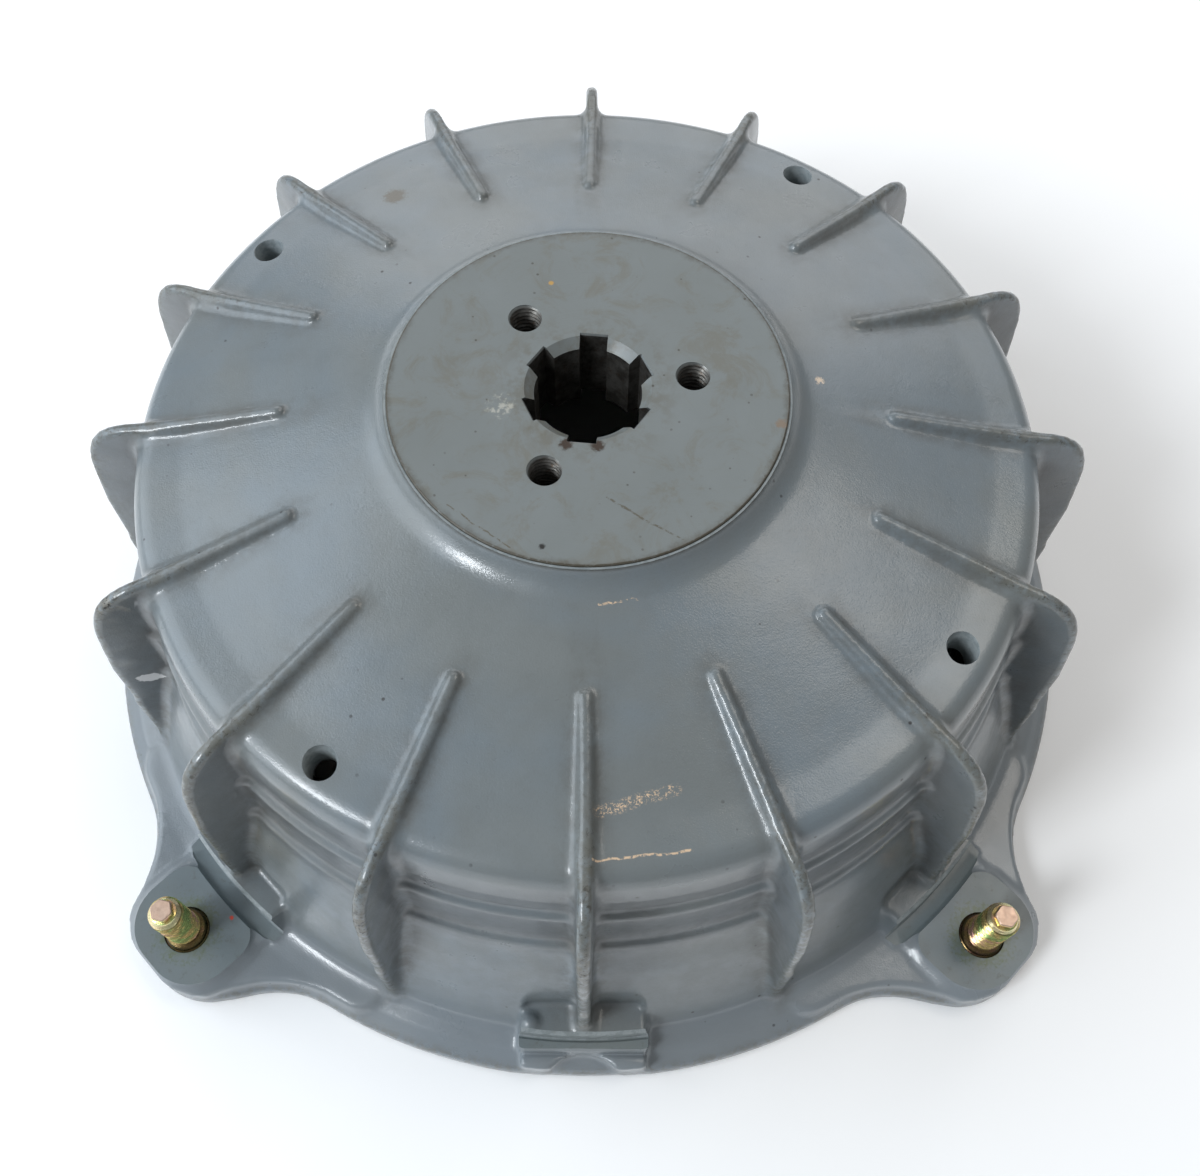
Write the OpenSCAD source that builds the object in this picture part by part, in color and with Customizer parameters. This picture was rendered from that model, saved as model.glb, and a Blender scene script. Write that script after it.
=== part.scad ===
// Finned, bell-shaped flywheel: a light-alloy casting with a splined steel hub, an iron
// ring inside the bell and four studs on lugs.
// The axis is Z, the open side rests on z = 0 and the front bracket points to -Y.

/* [Bell] */
// Height of the hub face above the base
height = 98; // [94:1:106]
// Radius of the machined hub face, the casting's thin rim included
hub_face_r = 43; // [42.8:0.1:43.6]
// Radius of the flat band where the web ends
band_r = 89; // [87:0.5:90]
// Radius of the bell wall just below the shoulder
wall_r = 102; // [101:0.5:103]
// Radius of the flange
flange_r = 126.5; // [125.5:0.5:128]
// Height of the flange's straight rim
rim_h = 3.2; // [2:0.2:3.6]

/* [Fins] */
// Number of fins
fin_count = 16; // [8:8:32]
// Thickness of a fin
fin_t = 2.9; // [2:0.1:4]
// Radius where a fin rises out of the web
fin_start_r = 66; // [60:1:72]
// Radius of the fins' outer edge at the foot
fin_foot_r = 118; // [117:0.5:120]
// Radius of the fins' rounded outer corner
fin_corner = 10; // [6:1:14]

/* [Hub insert] */
// Minor diameter of the spline
spline_minor_d = 23; // [21:1:24]
// Major diameter of the spline
spline_major_d = 28; // [26:1:29]
// Width of one spline groove
spline_groove = 6; // [4:0.5:7]
// Length of the splined bore
hub_length = 20; // [17:1:22]
// Bolt circle of the three tapped holes
tapped_pcd = 45; // [42:1:48]
// Core diameter of the tapped holes
tapped_d = 6.8; // [5:0.1:7]
// Depth of the tapped holes
tapped_depth = 15; // [10:1:16]

/* [Lugs and studs] */
// Bolt circle of the four studs
stud_pcd = 269; // [266:1:270]
// Thread diameter of a stud
stud_d = 8; // [6:1:9]
// Height of a stud's tip above its pad
stud_rise = 21; // [12:1:30]
// Height of the machined pads above the base
pad_z = 9.3; // [8.6:0.1:10]
// Radius of the turned pilot wall behind each pad
pilot_r = 119.5; // [119:0.5:120]
// Height of the pilot blocks above the base
pilot_z = 16.3; // [14:0.1:18]
// Half width of the pilot blocks
block_half = 14.2; // [13.6:0.1:15]

/* [Shoulder holes] */
// Bolt circle of the four plain holes in the flat band
shoulder_pcd = 186.4; // [184:0.2:187]
// Diameter of the plain holes
shoulder_d = 6.6; // [4:0.1:6.8]

/* [Friction ring] */
// Inner radius of the iron ring
ring_in_r = 93; // [91:0.5:94]
// Outer radius of the iron ring
ring_out_r = 98; // [97:0.5:98.5]
// Height of the ring's lower face above the base
ring_low_z = 14; // [8:1:20]
// Height of the ring's upper face above the base
ring_top_z = 62; // [56:1:64]

/* [Hidden] */
$fn = 160;
cut = 1;

// Directions round the axis, in degrees from the front, positive towards +X
fin_step = 360 / fin_count;
lug_angles = [-135, -45, 45, 135];
shoulder_angles = [-123.75, -33.75, 56.25, 146.25];
tapped_angles = [-22.5, 97.5, 217.5];
spline_turn = -5;
land_chamfer = 2;

// Bell: the web falls from the hub to the flat band
web_slope = 0.28;
band_z = height - 16.8;
band_fall = 1.1;
shoulder_r = 5.4;
hub_edge = 0.6;
hub_fillet = 9;
ledge_z = [60, 49.5];
ledge_step = [1.4, 3.1];
flare_z = 42;
foot_z = 8.7;
wall_in_r = 96;
skin = 8;
web_under_z = 79;
seat_r = 42.6;
seat_depth = 9;
boss_r = 32;
mouth_r = 101;

// Lugs
lug_half = 16.8;
lug_tip = 146;
lug_corner = 13;
lug_blend = 20;
blend_bite = 0.15;
lug_floor = 3.5;
pad_half = 13.5;
pad_in_r = 123.6;
pad_tip = 145.1;
pad_corner = 11;
step_z = 10.8;
turn_z = 7.8;
plate_z = 7.1;
plate_in_r = 112;
plate_half_angle = 19.3;
plate_end_r = 4.8;
relief_r = 112.2;
relief_half = 11.8;
relief_top = 40;

// Front bracket
prong_z = 9.3;
scoop_r = 10.4;
scoop_at = 132.3;
scoop_z = 3;

// Studs
shank_d = 10.8;
shank_rise = 1.6;
shank_chamfer = 0.7;
head_d = 13.6;
head_h = 2.2;
head_gap = 0.4;
dog_d = 5;
dog_h = 1.4;
point_h = 1.3;

function web_z(r) = band_z + web_slope * (band_r - r);
function polar(c, r, a) = c + r * [cos(a), sin(a)];
function arc(c, r, a0, a1, n) = [for (i = [0 : n]) polar(c, r, a0 + (a1 - a0) * i / n)];

// The concave fillet from the hub's edge to the web, tangent to the web
web_tilt = atan(web_slope);
hub_drop = (height - hub_edge - web_z(hub_face_r)) * cos(web_tilt);
fillet_span = acos(1 - hub_drop / hub_fillet);
fillet_start = 270 - web_tilt - fillet_span;
fillet_end = 270 - web_tilt;
fillet_c = [hub_face_r, height - hub_edge] - hub_fillet * [cos(fillet_start), sin(fillet_start)];

// The bell's outside in the (radius, height) plane, from the hub face to the rim
outside = concat(
    [[boss_r, height], [hub_face_r - hub_edge, height]],
    arc(fillet_c, hub_fillet, fillet_start, fillet_end, 8),
    [[band_r - 1, web_z(band_r - 1)], [band_r + 1, band_z - 0.2]],
    arc([wall_r - shoulder_r - 0.8, band_z - band_fall - shoulder_r], shoulder_r, 84, 10, 7),
    [[wall_r, 69.4], [wall_r, ledge_z[0] + 1.5]],
    [[wall_r + ledge_step[0], ledge_z[0] - 0.5], [wall_r + ledge_step[0] + 0.2, ledge_z[1] + 2]],
    [[wall_r + ledge_step[0] + ledge_step[1], ledge_z[1] - 2]],
    [[wall_r + ledge_step[0] + ledge_step[1] + 0.3, flare_z + 1.2]],
    [[wall_r + 5.5, flare_z], [wall_r + 7.2, 34], [wall_r + 9.5, 26], [wall_r + 12.4, 17]],
    [[wall_r + 15.5, foot_z], [wall_r + 17.6, 7.4], [flange_r - 3.9, 6.6]],
    [[flange_r - 0.9, rim_h + 0.9], [flange_r, rim_h], [flange_r, 0]]);

// The bell's inside, from the mouth back to the hub
inside = concat(
    [[mouth_r, 0], [mouth_r, 5], [ring_out_r, 8], [ring_out_r, ring_low_z]],
    [[ring_out_r, ring_top_z], [wall_in_r, ring_top_z], [wall_in_r, 66]],
    arc([wall_in_r - skin, 66], skin, 0, 74, 6),
    [[50, 83], [44, web_under_z], [boss_r, web_under_z]]);

module revolve(points) {
    rotate_extrude() polygon(points);
}

// A plate in the (radius, height) plane, centred on the direction to the front
module upright(thickness) {
    rotate([0, 0, -90]) rotate([90, 0, 0]) linear_extrude(thickness, center = true) children();
}

module at(angles) {
    for (a = angles) rotate([0, 0, a]) children();
}

// A block of the given half width between two radii, from the base up to top
module radial_block(half, r0, r1, z0, z1) {
    translate([-half, -r1, z0]) cube([2 * half, r1 - r0, z1 - z0]);
}

// Outline of the raised plate beside a lug: a sector of the flange with rounded ends
module plate_shape() {
    r = flange_r - 0.3;
    far = [r * tan(plate_half_angle), -r];
    near = plate_in_r / r * far;
    intersection() {
        circle(r);
        polygon([[-far[0], far[1]], far, near, [-near[0], near[1]]]);
    }
    for (s = [-1, 1]) rotate(s * plate_half_angle)
        translate([0, plate_end_r + blend_bite - r]) circle(plate_end_r);
}

// Outline of a lug with rounded outer corners, from radius r0 to its tip
module lug_shape(half, r0, tip, corner) {
    translate([-half, -tip + corner]) square([2 * half, tip - corner - r0]);
    translate([-half + corner, -tip]) square([2 * (half - corner), corner]);
    for (s = [-1, 1]) translate([s * (half - corner), -tip + corner]) circle(corner);
}

// Lug outline with the hollow curves that lead into the flange. Each curve's circle meets the
// flange circle and the lug's corner circle, and bites a little into both.
module lug_foot(inset) {
    r = flange_r - inset;
    half = lug_half - inset;
    blend = lug_blend + inset;
    corner = [half - lug_corner, lug_tip - inset / 2 - lug_corner];
    side_a = norm(corner);
    side_b = r + blend - blend_bite;
    side_c = lug_corner + blend - blend_bite;
    turn = atan2(corner[0], corner[1])
        + acos((pow(side_a, 2) + pow(side_b, 2) - pow(side_c, 2)) / (2 * side_a * side_b));
    c = side_b * [sin(turn), cos(turn)];
    on_lug = corner + (lug_corner - 1) / side_c * (c - corner);
    on_flange = (r - 2) / side_b * c;
    difference() {
        union() {
            lug_shape(half, 110, lug_tip - inset / 2, lug_corner);
            polygon([[-on_lug[0], -on_lug[1]], [on_lug[0], -on_lug[1]],
                     [on_flange[0], -on_flange[1]], [-on_flange[0], -on_flange[1]]]);
        }
        for (s = [-1, 1]) translate([s * c[0], -c[1]]) circle(blend);
    }
}

module pad_slab(half, tip, corner, z0, z1) {
    translate([0, 0, z0]) linear_extrude(z1 - z0) lug_shape(half, pilot_r - 4, tip, corner, $fn = 32);
}

module fin() {
    top = [fin_foot_r - 1.6, height - 16.6];
    corner_c = top - [fin_corner, fin_corner];
    upright(fin_t) polygon(concat(
        [[fin_start_r, web_z(fin_start_r) + 0.1], [fin_start_r + 40, top[1] + 0.2]],
        arc(corner_c, fin_corner, 84, 2, 8),
        [[fin_foot_r, foot_z - 1.5], [112, 5], [105, 20], [101, 42], [98.6, 68], [92, 76]],
        [[fin_start_r, 84]]));
}

// One lug: its floor, the plates beside it, the raised boss and the pilot block
module lug() {
    linear_extrude(lug_floor) lug_foot(0);
    linear_extrude(plate_z) lug_foot(1.5);
    linear_extrude(plate_z) plate_shape();
    pad_slab(lug_half - 1.8, lug_tip - 1, lug_corner, 0, pad_z - 0.8);
    pad_slab(pad_half, pad_tip, pad_corner, 0, pad_z);
}

module pilot_block() {
    radial_block(block_half, 108, pilot_r + 1, 0, pilot_z);
}

// What the lathe takes off to turn the pilot wall and a clearance ring outside it
module pilot_turning(low) {
    difference() {
        translate([0, 0, low]) cylinder(20, r = pad_in_r);
        translate([0, 0, low - cut]) cylinder(22, r = pilot_r);
    }
}

module front_bracket() {
    pilot_block();
    difference() {
        intersection() {
            radial_block(block_half, 108, flange_r + 1, 0, prong_z);
            cylinder(prong_z, r = flange_r);
        }
        translate([0, -scoop_at, scoop_z]) cylinder(prong_z, r = scoop_r);
    }
    radial_block(block_half, 108, pilot_r + 3, 0, step_z);
}

module stud_hole() {
    translate([0, 0, -cut]) cylinder(pad_z + 3 * cut, d = shank_d);
    translate([0, 0, -cut]) cylinder(head_h + head_gap + cut, d = head_d + 0.8);
}

module insert_outer(extra) {
    translate([0, 0, height - seat_depth]) cylinder(seat_depth + extra, r = seat_r);
    translate([0, 0, height - hub_length - extra]) cylinder(hub_length, r = boss_r);
}

module drum_casting() color("#9aa3a8") difference() {
    union() {
        difference() {
            revolve(concat(outside, inside));
            at(concat(lug_angles, [0])) radial_block(relief_half, relief_r, 130, pilot_z, relief_top);
        }
        at([for (i = [0 : fin_count - 1]) i * fin_step]) fin();
        difference() {
            union() {
                difference() {
                    at(lug_angles) {
                        lug();
                        pilot_block();
                    }
                    pilot_turning(turn_z);
                }
                difference() {
                    front_bracket();
                    pilot_turning(step_z);
                }
            }
            translate([0, 0, -cut]) cylinder(height, r = 108);
        }
    }
    insert_outer(cut);
    at(shoulder_angles) translate([0, -shoulder_pcd / 2, 60]) cylinder(40, d = shoulder_d);
    at(lug_angles) translate([0, -stud_pcd / 2, 0]) stud_hole();
    translate([0, 0, ring_low_z]) cylinder(ring_top_z - ring_low_z, r = ring_out_r);
}

module spline_grooves() {
    for (i = [0 : 5]) rotate([0, 0, spline_turn + 60 * i])
        translate([-spline_groove / 2, -spline_major_d / 2, 0])
            cube([spline_groove, spline_major_d / 2, hub_length + 2 * cut]);
}

module splined_hub() color("#8b8f8e") difference() {
    insert_outer(0);
    translate([0, 0, height - hub_length - cut]) {
        cylinder(hub_length + 2 * cut, d = spline_minor_d);
        intersection() {
            spline_grooves();
            cylinder(hub_length + 2 * cut, d = spline_major_d);
        }
    }
    translate([0, 0, height - land_chamfer - cut])
        cylinder(land_chamfer + 2 * cut, r1 = spline_minor_d / 2 - cut,
            r2 = spline_minor_d / 2 + land_chamfer + cut);
    at(tapped_angles) translate([0, -tapped_pcd / 2, height - tapped_depth])
        cylinder(tapped_depth + cut, d = tapped_d);
}

module friction_ring() color("#6a6664") {
    revolve([[ring_in_r, ring_low_z + 1], [ring_in_r + 1, ring_low_z], [ring_out_r, ring_low_z],
             [ring_out_r, ring_top_z], [ring_in_r + 1, ring_top_z], [ring_in_r, ring_top_z - 1]]);
}

// A stud pressed up through its lug: thin head, shank, plain thread cylinder and dog point
module stud(angle) {
    shank_top = pad_z + shank_rise;
    tip = pad_z + stud_rise;
    color("#b09a4e") rotate([0, 0, angle]) translate([0, -stud_pcd / 2, 0]) {
        translate([0, 0, head_gap]) cylinder(head_h, d = head_d);
        cylinder_from(head_gap, shank_top - shank_chamfer, shank_d);
        translate([0, 0, shank_top - shank_chamfer])
            cylinder(shank_chamfer, d1 = shank_d, d2 = shank_d - 2 * shank_chamfer);
        cylinder_from(head_gap, tip - dog_h - point_h, stud_d);
        translate([0, 0, tip - dog_h - point_h]) cylinder(point_h, d1 = stud_d, d2 = dog_d + 0.6);
        cylinder_from(tip - dog_h - 0.5, tip, dog_d);
    }
}

module cylinder_from(z0, z1, d) {
    translate([0, 0, z0]) cylinder(z1 - z0, d = d);
}

drum_casting();
splined_hub();
friction_ring();
stud(lug_angles[1]);  // stud_front_left
stud(lug_angles[2]);  // stud_front_right
stud(lug_angles[0]);  // stud_rear_left
stud(lug_angles[3]);  // stud_rear_right
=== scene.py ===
"""Looks for the finned bell-shaped flywheel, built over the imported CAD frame.

Lengths in the shape code are mm. The casting is a distance field turned into a mesh, then cut
where the real one is machined.
"""

import math

import bmesh
import bpy
import numpy as np
import openvdb
from mathutils import Matrix, Vector


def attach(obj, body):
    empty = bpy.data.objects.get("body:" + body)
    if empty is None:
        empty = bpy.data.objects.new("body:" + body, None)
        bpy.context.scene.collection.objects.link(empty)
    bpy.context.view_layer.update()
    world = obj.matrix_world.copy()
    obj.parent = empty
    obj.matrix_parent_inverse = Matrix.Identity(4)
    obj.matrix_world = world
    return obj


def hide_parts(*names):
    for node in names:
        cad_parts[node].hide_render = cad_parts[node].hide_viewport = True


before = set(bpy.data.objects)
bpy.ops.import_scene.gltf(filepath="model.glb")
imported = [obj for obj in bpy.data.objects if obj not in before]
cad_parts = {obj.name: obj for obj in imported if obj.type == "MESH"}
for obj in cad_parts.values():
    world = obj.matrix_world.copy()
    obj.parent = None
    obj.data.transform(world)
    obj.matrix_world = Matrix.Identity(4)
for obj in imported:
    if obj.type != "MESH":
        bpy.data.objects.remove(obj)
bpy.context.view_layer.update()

MM = 0.001
STEP = 0.75
TARGET_FACES = 185000
RNG = np.random.default_rng(7)
GRID_Z = np.arange(-3.2, 101.6, STEP, dtype=np.float32)

HEIGHT = 98.0
HUB_R = 43.0
SEAT_R = 42.6
SEAT_Z = 89.0
BOSS_R = 32.0
BAND_R = 89.0
BAND_Z = 81.2
SLOPE = 0.28
FIN_COUNT = 16
FIN_START = 66.0
FIN_FOOT = 118.0
PAD_Z = 9.3
PILOT_R = 119.5
PILOT_Z = 16.3
STEP_Z = 10.8
STRIP_Z = 11.1
TURN_Z = 7.8
PAD_IN = 123.6
PLATE_Z = 7.1
STUD_R = 134.5
LUG_ANGLES = (-135, -45, 45, 135)
SHOULDER_ANGLES = (-123.75, -33.75, 56.25, 146.25)
SHOULDER_R = 93.2
TAPPED_ANGLES = (-22.5, 97.5, 217.5)
TAPPED_R = 22.5
SPLINE_TURN = -5
SPLINE_MINOR_R = 11.5
SPLINE_MAJOR_R = 14.0
SPLINE_GROOVE = 6.0


# ---------------------------------------------------------------- distance fields

def join(a, b, r):
    """Union of two distance fields with a hollow fillet of radius r."""
    a, b = r - a, r - b
    inner = np.sqrt(np.maximum(a, 0) ** 2 + np.maximum(b, 0) ** 2)
    return np.maximum(np.minimum(r - a, r - b), r) - inner


def meet(a, b, r):
    """Intersection of two distance fields with edges rounded to radius r."""
    outer = np.sqrt(np.maximum(a + r, 0) ** 2 + np.maximum(b + r, 0) ** 2)
    return np.minimum(np.maximum(a, b), -r) + outer


def polygon_distance(points, x, y):
    """Signed distance to a closed polygon, negative inside."""
    pts = np.asarray(points, dtype=np.float32)
    best = np.full(x.shape, 1e9, np.float32)
    inside = np.zeros(x.shape, bool)
    for (ax, ay), (bx, by) in zip(pts, np.roll(pts, -1, axis=0)):
        ex, ey = bx - ax, by - ay
        px, py = x - ax, y - ay
        u = np.clip((px * ex + py * ey) / (ex * ex + ey * ey), 0, 1)
        best = np.minimum(best, (px - ex * u) ** 2 + (py - ey * u) ** 2)
        if ey != 0:
            inside ^= ((ay > y) != (by > y)) & (x < ax + (y - ay) * ex / ey)
    return (np.where(inside, -1, 1) * np.sqrt(best)).astype(np.float32)


def blur(table, sigma):
    """Gaussian blur of a 2D table, sigma in cells."""
    n = int(3 * sigma) + 1
    k = np.exp(-0.5 * (np.arange(-n, n + 1) / sigma) ** 2)
    k /= k.sum()
    for axis in (0, 1):
        padded = np.pad(table, [(n, n) if i == axis else (0, 0) for i in (0, 1)], mode="edge")
        cells = table.shape[axis]
        table = sum(w * np.take(padded, np.arange(i, i + cells), axis=axis) for i, w in enumerate(k))
    return table.astype(np.float32)


def rounded_box(t, u, half, u0, u1, corner):
    """Signed distance to a rectangle with round corners."""
    qt = np.abs(t) - (half - corner)
    qu = np.abs(u - (u0 + u1) / 2) - ((u1 - u0) / 2 - corner)
    outside = np.sqrt(np.maximum(qt, 0) ** 2 + np.maximum(qu, 0) ** 2)
    return outside + np.minimum(np.maximum(qt, qu), 0) - corner


def arc(c, r, a0, a1, n):
    angles = np.radians(np.linspace(a0, a1, n + 1))
    return [(c[0] + r * math.cos(a), c[1] + r * math.sin(a)) for a in angles]


def web_z(r):
    return BAND_Z + SLOPE * (BAND_R - r)


def bell_profile():
    tilt = math.degrees(math.atan(SLOPE))
    drop = (HEIGHT - 0.6 - web_z(HUB_R)) * math.cos(math.radians(tilt))
    span = math.degrees(math.acos(1 - drop / 9))
    start = 270 - tilt - span
    c = (HUB_R - 9 * math.cos(math.radians(start)), HEIGHT - 0.6 - 9 * math.sin(math.radians(start)))
    points = [(-30, 104), (HUB_R, 104)] + arc(c, 9, start, 270 - tilt, 10)
    points += [(BAND_R - 1, web_z(BAND_R - 1)), (BAND_R + 1, BAND_Z - 0.2)]
    points += arc((95.8, BAND_Z - 6.5), 5.4, 84, 10, 8)
    ledges = [(101.9, 69.4), (101.9, 62.6), (103.6, 61.2), (103.8, 52), (104.2, 45.7), (105.8, 44.3)]
    flare = [(106.4, 41), (107.1, 38.8), (109.2, 33.5), (111.5, 26), (114.4, 17), (117.5, 8.7)]
    flange = [(119.6, 7.2), (122.6, 6.4), (125.6, 4.1), (126.4, 3.0), (126.4, -6), (-30, -6)]
    return points + ledges + flare + flange


def fin_profile():
    """Side view of one fin: a top edge that droops into a round nose, then down to the foot."""
    top = [(FIN_START, web_z(FIN_START) + 1.5), (98, 81.8), (104, 81.0), (107.3, 79.9), (110, 78.2)]
    nose = [(112.2, 75.6), (113.7, 72.2), (114.8, 68), (115.6, 62), (FIN_FOOT - 1.1, 51)]
    foot = [(FIN_FOOT - 0.7, 34), (FIN_FOOT - 0.1, 31), (FIN_FOOT, 6), (100, 6), (94, 70), (FIN_START, 80)]
    return top + nose + foot


def surface(field, origin):
    """Vertices and quads of the zero surface of a field."""
    grid = openvdb.FloatGrid(background=float(field.max()))
    grid.copyFromArray(field)
    points, quads = grid.convertToQuads(isovalue=0.0)
    return points.astype(np.float64) * STEP + origin, quads[:, ::-1]


# ---------------------------------------------------------------- mesh helpers

def link(name, mesh):
    obj = bpy.data.objects.new(name, mesh)
    bpy.context.scene.collection.objects.link(obj)
    return obj


def mesh_object(name, points, faces, material=None):
    mesh = bpy.data.meshes.new(name)
    faces = np.asarray(faces)
    mesh.vertices.add(len(points))
    mesh.vertices.foreach_set("co", (np.asarray(points) * MM).astype(np.float32).ravel())
    mesh.loops.add(faces.size)
    mesh.loops.foreach_set("vertex_index", faces.astype(np.int32).ravel())
    mesh.polygons.add(len(faces))
    mesh.polygons.foreach_set("loop_start", np.arange(0, faces.size, faces.shape[1], dtype=np.int32))
    mesh.update(calc_edges=True)
    mesh.validate()
    if material:
        mesh.materials.append(material)
    return link(name, mesh)


def mesh_from_bmesh(name, bm, material):
    bmesh.ops.recalc_face_normals(bm, faces=bm.faces)
    mesh = bpy.data.meshes.new(name)
    bm.to_mesh(mesh)
    bm.free()
    mesh.materials.append(material)
    return link(name, mesh)


def spin(bm, points, segments, turn=0.0, centre=(0, 0)):
    """Adds a closed solid of revolution of a (radius, height) outline; radius 0 is the axis."""
    rings = []
    for r, z in points:
        if r == 0:
            rings.append([bm.verts.new((centre[0] * MM, centre[1] * MM, z * MM))] * segments)
            continue
        row = []
        for i in range(segments):
            a = 2 * math.pi * i / segments + turn
            x, y = centre[0] + r * math.cos(a), centre[1] + r * math.sin(a)
            row.append(bm.verts.new((x * MM, y * MM, z * MM)))
        rings.append(row)
    for low, up in zip(rings, rings[1:] + rings[:1]):
        for i in range(segments):
            j = (i + 1) % segments
            corners = list(dict.fromkeys([low[i], low[j], up[j], up[i]]))
            if len(corners) > 2:
                bm.faces.new(corners)


def lathe(name, points, segments, material, turn=0.0):
    bm = bmesh.new()
    spin(bm, points, segments, turn)
    return mesh_from_bmesh(name, bm, material)


def sector(bm, points, angle, half, steps=24):
    """Adds a closed wedge of a solid of revolution, up to half degrees either side of an azimuth."""
    rows = []
    for i in range(steps + 1):
        turn = angle + half * (2 * i / steps - 1)
        rows.append([bm.verts.new((*(v * MM for v in at(r, turn)), z * MM)) for r, z in points])
    n = len(points)
    for a, b in zip(rows, rows[1:]):
        for i in range(n):
            bm.faces.new([a[i], a[(i + 1) % n], b[(i + 1) % n], b[i]])
    bm.faces.new(rows[0][::-1])
    bm.faces.new(rows[-1])


def settle(obj):
    """Replaces an object's mesh by what its modifiers make of it."""
    graph = bpy.context.evaluated_depsgraph_get()
    mesh = bpy.data.meshes.new_from_object(obj.evaluated_get(graph), depsgraph=graph)
    obj.modifiers.clear()
    obj.data = mesh


def carve(obj, *cutters):
    """Cuts closed meshes out of an object; the cut faces keep the cutter's material."""
    for cutter in cutters:
        mod = obj.modifiers.new("cut", "BOOLEAN")
        mod.object = cutter
        mod.operation = "DIFFERENCE"
        mod.solver = "MANIFOLD"
        mod.material_mode = "TRANSFER"
        settle(obj)
        if not obj.data.polygons:
            raise RuntimeError("boolean with " + cutter.name + " failed")
        mesh = cutter.data
        bpy.data.objects.remove(cutter)
        bpy.data.meshes.remove(mesh)


def at(radius, angle):
    """Point at an azimuth counted from the front, -Y, towards +X."""
    a = math.radians(angle)
    return radius * math.sin(a), -radius * math.cos(a)


def finish_shading(obj, angle=32, seams=True):
    """Smooth shading with sharp edges by angle; without seams, cast surfaces have no sharp edges."""
    mesh = obj.data
    bm = bmesh.new()
    bm.from_mesh(mesh)
    limit = math.radians(angle)
    for f in bm.faces:
        f.smooth = True
    for e in bm.edges:
        if len(e.link_faces) != 2:
            e.smooth = False
            continue
        a, b = e.link_faces
        turned = e.calc_face_angle(0) > limit
        cast = a.material_index == 0 and b.material_index == 0 and not seams
        mixed = a.material_index != b.material_index and e.calc_face_angle(0) > math.radians(12)
        e.smooth = not ((turned and not cast) or mixed)
    bm.to_mesh(mesh)
    bm.free()


# ---------------------------------------------------------------- materials

class Paint:
    """Small helper round one material's node tree. Positions come in mm."""

    def __init__(self, name):
        self.material = bpy.data.materials.new(name)
        self.material.use_nodes = True
        self.tree = self.material.node_tree
        self.tree.nodes.clear()
        self.out = self.tree.nodes.new("ShaderNodeOutputMaterial")
        self.bsdf = self.tree.nodes.new("ShaderNodeBsdfPrincipled")
        self.tree.links.new(self.bsdf.outputs[0], self.out.inputs[0])
        coord = self.tree.nodes.new("ShaderNodeTexCoord")
        self.mm = self.vector("SCALE", coord.outputs["Object"], 1000.0)

    def put(self, socket, value):
        if isinstance(value, bpy.types.NodeSocket):
            self.tree.links.new(value, socket)
        elif isinstance(value, tuple) and len(value) == 3 and socket.type == "RGBA":
            socket.default_value = (*value, 1)
        else:
            socket.default_value = value

    def vector(self, op, a, b=None):
        n = self.tree.nodes.new("ShaderNodeVectorMath")
        n.operation = op
        self.put(n.inputs[0], a)
        if b is not None:
            self.put(n.inputs["Scale"] if op == "SCALE" else n.inputs[1], b)
        return n.outputs["Value"] if op in ("LENGTH", "DOT_PRODUCT", "DISTANCE") else n.outputs[0]

    def math(self, op, a, b=None, c=None, clamp=False):
        n = self.tree.nodes.new("ShaderNodeMath")
        n.operation = op
        n.use_clamp = clamp
        for socket, value in zip(n.inputs, (a, b, c)):
            if value is not None:
                self.put(socket, value)
        return n.outputs[0]

    def split(self, v=None):
        n = self.tree.nodes.new("ShaderNodeSeparateXYZ")
        self.put(n.inputs[0], self.mm if v is None else v)
        return n.outputs

    def noise(self, scale, detail=3.0, rough=0.55, distort=0.0, v=None):
        n = self.tree.nodes.new("ShaderNodeTexNoise")
        self.put(n.inputs["Vector"], self.mm if v is None else v)
        n.inputs["Scale"].default_value = scale
        n.inputs["Detail"].default_value = detail
        n.inputs["Roughness"].default_value = rough
        n.inputs["Distortion"].default_value = distort
        return n.outputs[0]

    def cells(self, scale, feature="F1", v=None):
        n = self.tree.nodes.new("ShaderNodeTexVoronoi")
        n.feature = feature
        self.put(n.inputs["Vector"], self.mm if v is None else v)
        n.inputs["Scale"].default_value = scale
        return n.outputs["Distance"]

    def band(self, value, low, high, to_low=0.0, to_high=1.0):
        """Smooth step of value from low to high."""
        n = self.tree.nodes.new("ShaderNodeMapRange")
        n.interpolation_type = "SMOOTHSTEP"
        self.put(n.inputs["Value"], value)
        for key, v in (("From Min", low), ("From Max", high), ("To Min", to_low), ("To Max", to_high)):
            n.inputs[key].default_value = v
        return n.outputs[0]

    def mix(self, factor, a, b):
        n = self.tree.nodes.new("ShaderNodeMix")
        n.data_type = "RGBA"
        self.put(n.inputs["Factor"], factor)
        self.put(n.inputs["A"] if n.inputs["A"].type == "RGBA" else n.inputs[6], a)
        self.put(n.inputs["B"] if n.inputs["B"].type == "RGBA" else n.inputs[7], b)
        return n.outputs[2]

    def attribute(self, name):
        n = self.tree.nodes.new("ShaderNodeAttribute")
        n.attribute_name = name
        return n.outputs["Fac"]

    def bump(self, height, distance, strength=1.0, under=None):
        n = self.tree.nodes.new("ShaderNodeBump")
        n.inputs["Strength"].default_value = strength
        n.inputs["Distance"].default_value = distance * MM
        self.put(n.inputs["Height"], height)
        if under is not None:
            self.put(n.inputs["Normal"], under)
        return n.outputs[0]

    def set(self, **values):
        names = {"color": "Base Color", "rough": "Roughness", "metal": "Metallic", "normal": "Normal",
                 "coat": "Coat Weight", "coat_rough": "Coat Roughness", "coat_normal": "Coat Normal",
                 "specular": "Specular IOR Level", "anisotropic": "Anisotropic"}
        for key, value in values.items():
            self.put(self.bsdf.inputs[names[key]], value)
        return self.material


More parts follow.
